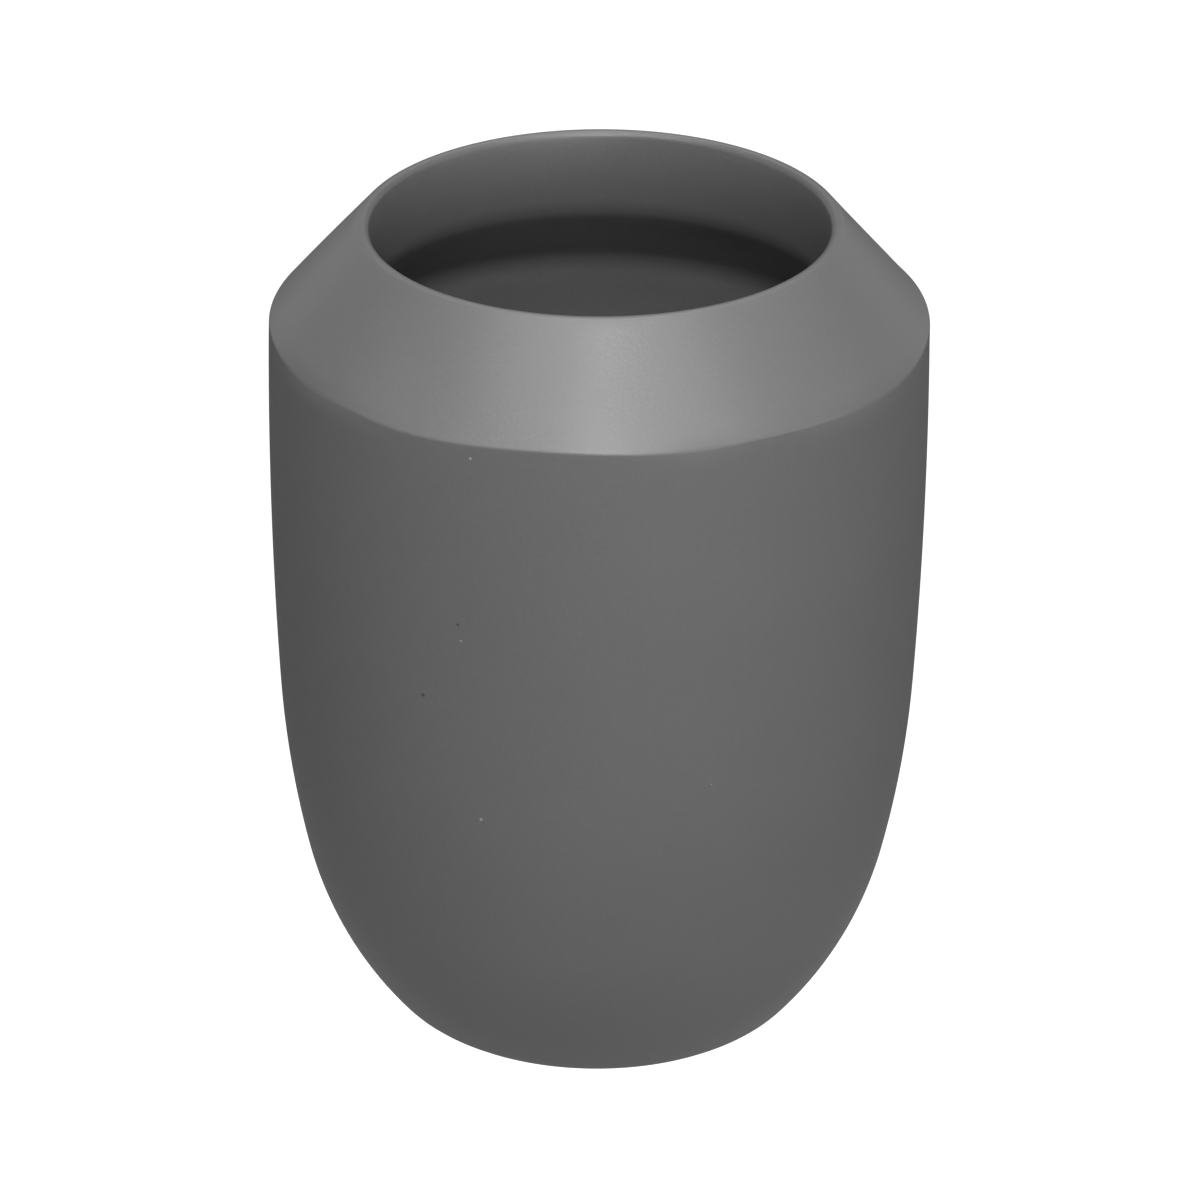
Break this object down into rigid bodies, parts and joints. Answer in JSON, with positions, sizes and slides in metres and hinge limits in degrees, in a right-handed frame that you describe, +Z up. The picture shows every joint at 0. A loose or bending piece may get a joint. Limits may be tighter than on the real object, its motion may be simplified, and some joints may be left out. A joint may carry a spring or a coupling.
{
  "type": "bathroom tumbler",
  "caption": "Round matte ceramic bathroom tumbler with a barrel body, a crisp crease, a sloping shoulder and a thin rounded lip, on a non-slip base pad.",
  "frame": {"origin": "on the tumbler's axis, at the underside of the base pad, where it meets the shelf", "axes": "+Z up along the tumbler's axis, out of the mouth; X and Y are alike on a round body"},
  "size_m": [0.0804, 0.0802, 0.105],
  "materials": {
    "matte_ceramic": "matte",
    "pad_rubber": "matte"
  },
  "bodies": {
    "root": {"tumbler_body": "matte_ceramic", "base_pad": "pad_rubber"}
  },
  "joints": []
}
